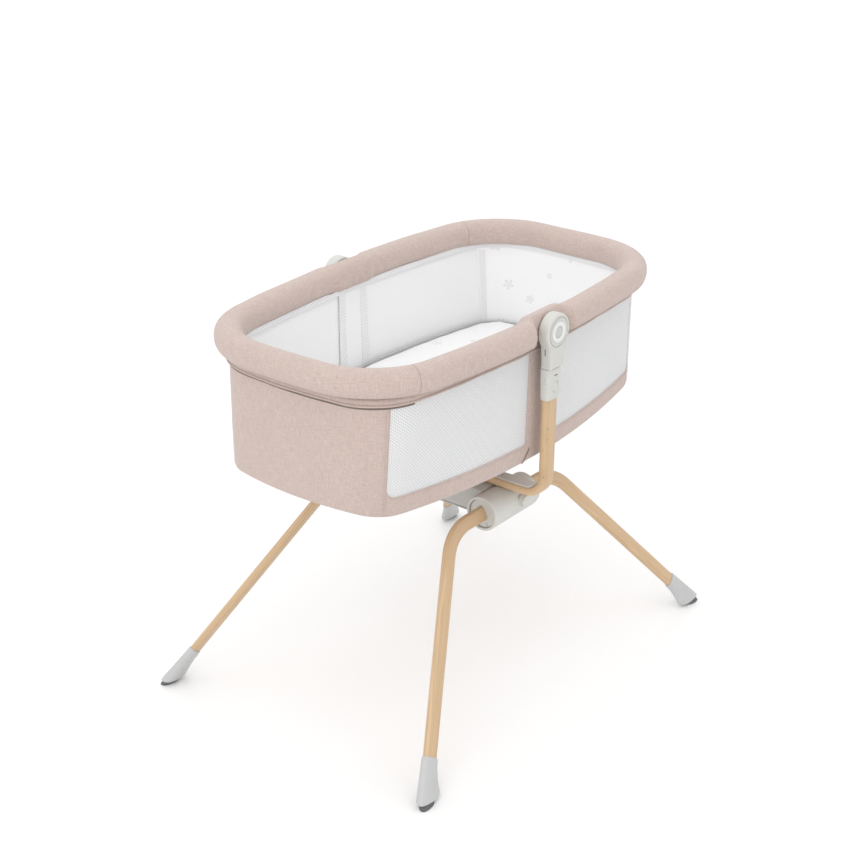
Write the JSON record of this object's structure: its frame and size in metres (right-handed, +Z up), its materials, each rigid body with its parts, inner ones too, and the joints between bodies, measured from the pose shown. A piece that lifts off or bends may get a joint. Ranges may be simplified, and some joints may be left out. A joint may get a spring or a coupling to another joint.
{
  "type": "bassinet on stand",
  "caption": "Oval fabric bassinet basket with padded rim and mesh sides, hung between two upright arms on a folding four-leg flat-oval tube stand.",
  "frame": {"origin": "on the floor below the middle of the bassinet", "axes": "+X along the basket towards its far end, +Y across to the back long side, +Z up"},
  "size_m": [0.8664, 0.61, 0.7084],
  "materials": {
    "oak_print_tube": "satin light oak wood-grain film on flat-oval steel tube",
    "warm_grey_plastic": "fine satin moulding",
    "bridge_grey_plastic": "satin moulding",
    "white_plastic": "satin moulding",
    "button_grey_plastic": "satin moulding",
    "foot_grey_plastic": "satin moulding",
    "pad_grey_rubber": "matt ribbed rubber",
    "zinc_steel": "zinc plated",
    "rim_frame_steel": "white powder coat, hidden",
    "blush_linen": "blush melange linen-look cloth",
    "air_mesh_white": "white air mesh",
    "liner_white": "smooth white woven lining",
    "mattress_white": "white foam mattress with cloth cover",
    "floor_board_fibre": "hardboard, hidden"
  },
  "bodies": {
    "stand": {"upright_frame_tube": "oak_print_tube", "saddle_cover": "warm_grey_plastic", "front_saddle_screw": "zinc_steel", "back_saddle_screw": "zinc_steel", "front_barrel": "warm_grey_plastic", "back_barrel": "warm_grey_plastic", "bridge_body": "bridge_grey_plastic", "bridge_bottom_plate": "bridge_grey_plastic", "front_lower_sleeve": "warm_grey_plastic", "back_lower_sleeve": "warm_grey_plastic"},
    "front_legs": {"front_near_leg_tube": "oak_print_tube", "front_far_leg_tube": "oak_print_tube", "front_near_foot_sleeve": "foot_grey_plastic", "front_far_foot_sleeve": "foot_grey_plastic", "front_near_foot_pad": "pad_grey_rubber", "front_far_foot_pad": "pad_grey_rubber", "front_drum": "warm_grey_plastic", "front_near_drum_screw": "zinc_steel", "front_far_drum_screw": "zinc_steel"},
    "back_legs": {"back_near_leg_tube": "oak_print_tube", "back_far_leg_tube": "oak_print_tube", "back_near_foot_sleeve": "foot_grey_plastic", "back_far_foot_sleeve": "foot_grey_plastic", "back_near_foot_pad": "pad_grey_rubber", "back_far_foot_pad": "pad_grey_rubber", "back_drum": "warm_grey_plastic", "back_near_drum_screw": "zinc_steel", "back_far_drum_screw": "zinc_steel"},
    "front_fold_button": {"front_fold_button": "white_plastic"},
    "back_fold_button": {"back_fold_button": "white_plastic"},
    "front_release_button": {"front_release_button": "warm_grey_plastic"},
    "back_release_button": {"back_release_button": "warm_grey_plastic"},
    "carrier": {"front_upper_collar": "warm_grey_plastic", "back_upper_collar": "warm_grey_plastic", "front_hub_ring": "white_plastic", "back_hub_ring": "white_plastic"},
    "front_hub_key": {"front_hub_key": "button_grey_plastic"},
    "back_hub_key": {"back_hub_key": "button_grey_plastic"},
    "basket": {"rim_frame": "rim_frame_steel", "rim_roll": "blush_linen", "hem_strip": "blush_linen", "near_end_panel": "blush_linen", "far_end_panel": "blush_linen", "near_end_liner": "liner_white", "far_end_liner": "liner_white", "front_near_mesh_panel": "air_mesh_white", "front_far_mesh_panel": "air_mesh_white", "back_near_mesh_panel": "air_mesh_white", "back_far_mesh_panel": "air_mesh_white", "front_middle_strip": "blush_linen", "back_middle_strip": "blush_linen", "front_bottom_band": "blush_linen", "back_bottom_band": "blush_linen", "underside_cover": "blush_linen", "floor_board": "floor_board_fibre", "mattress": "mattress_white", "front_pivot_bracket": "zinc_steel", "back_pivot_bracket": "zinc_steel", "front_pivot_pin": "zinc_steel", "back_pivot_pin": "zinc_steel"}
  },
  "joints": [
    {"name": "front_legs_fold", "type": "hinge", "parent": "stand", "child": "front_legs", "pos_m": [0, -0.138, 0.335], "axis": [1, 0, 0], "range_deg": [0, 36]},
    {"name": "back_legs_fold", "type": "hinge", "parent": "stand", "child": "back_legs", "pos_m": [0, 0.138, 0.335], "axis": [-1, 0, 0], "range_deg": [0, 36]},
    {"name": "front_fold_button_press", "type": "slide", "parent": "stand", "child": "front_fold_button", "axis": [0, 1, 0], "range_m": [0, 0.003], "stiffness_N_per_m": 500, "springref_m": -0.001},
    {"name": "back_fold_button_press", "type": "slide", "parent": "stand", "child": "back_fold_button", "axis": [0, -1, 0], "range_m": [0, 0.003], "stiffness_N_per_m": 500, "springref_m": -0.001},
    {"name": "front_release_press", "type": "slide", "parent": "stand", "child": "front_release_button", "axis": [0, 1, 0], "range_m": [0, 0.002], "stiffness_N_per_m": 500, "springref_m": -0.001},
    {"name": "back_release_press", "type": "slide", "parent": "stand", "child": "back_release_button", "axis": [0, -1, 0], "range_m": [0, 0.002], "stiffness_N_per_m": 500, "springref_m": -0.001},
    {"name": "basket_lift", "type": "slide", "parent": "stand", "child": "carrier", "axis": [0, 0, 1], "range_m": [0, 0.06]},
    {"name": "front_hub_press", "type": "slide", "parent": "carrier", "child": "front_hub_key", "axis": [0, 1, 0], "range_m": [0, 0.0025], "stiffness_N_per_m": 500, "springref_m": -0.001},
    {"name": "back_hub_press", "type": "slide", "parent": "carrier", "child": "back_hub_key", "axis": [0, -1, 0], "range_m": [0, 0.0025], "stiffness_N_per_m": 500, "springref_m": -0.001},
    {"name": "basket_rock", "type": "hinge", "parent": "carrier", "child": "basket", "pos_m": [0, 0, 0.6765], "axis": [0, 1, 0], "range_deg": [-10, 10]}
  ]
}
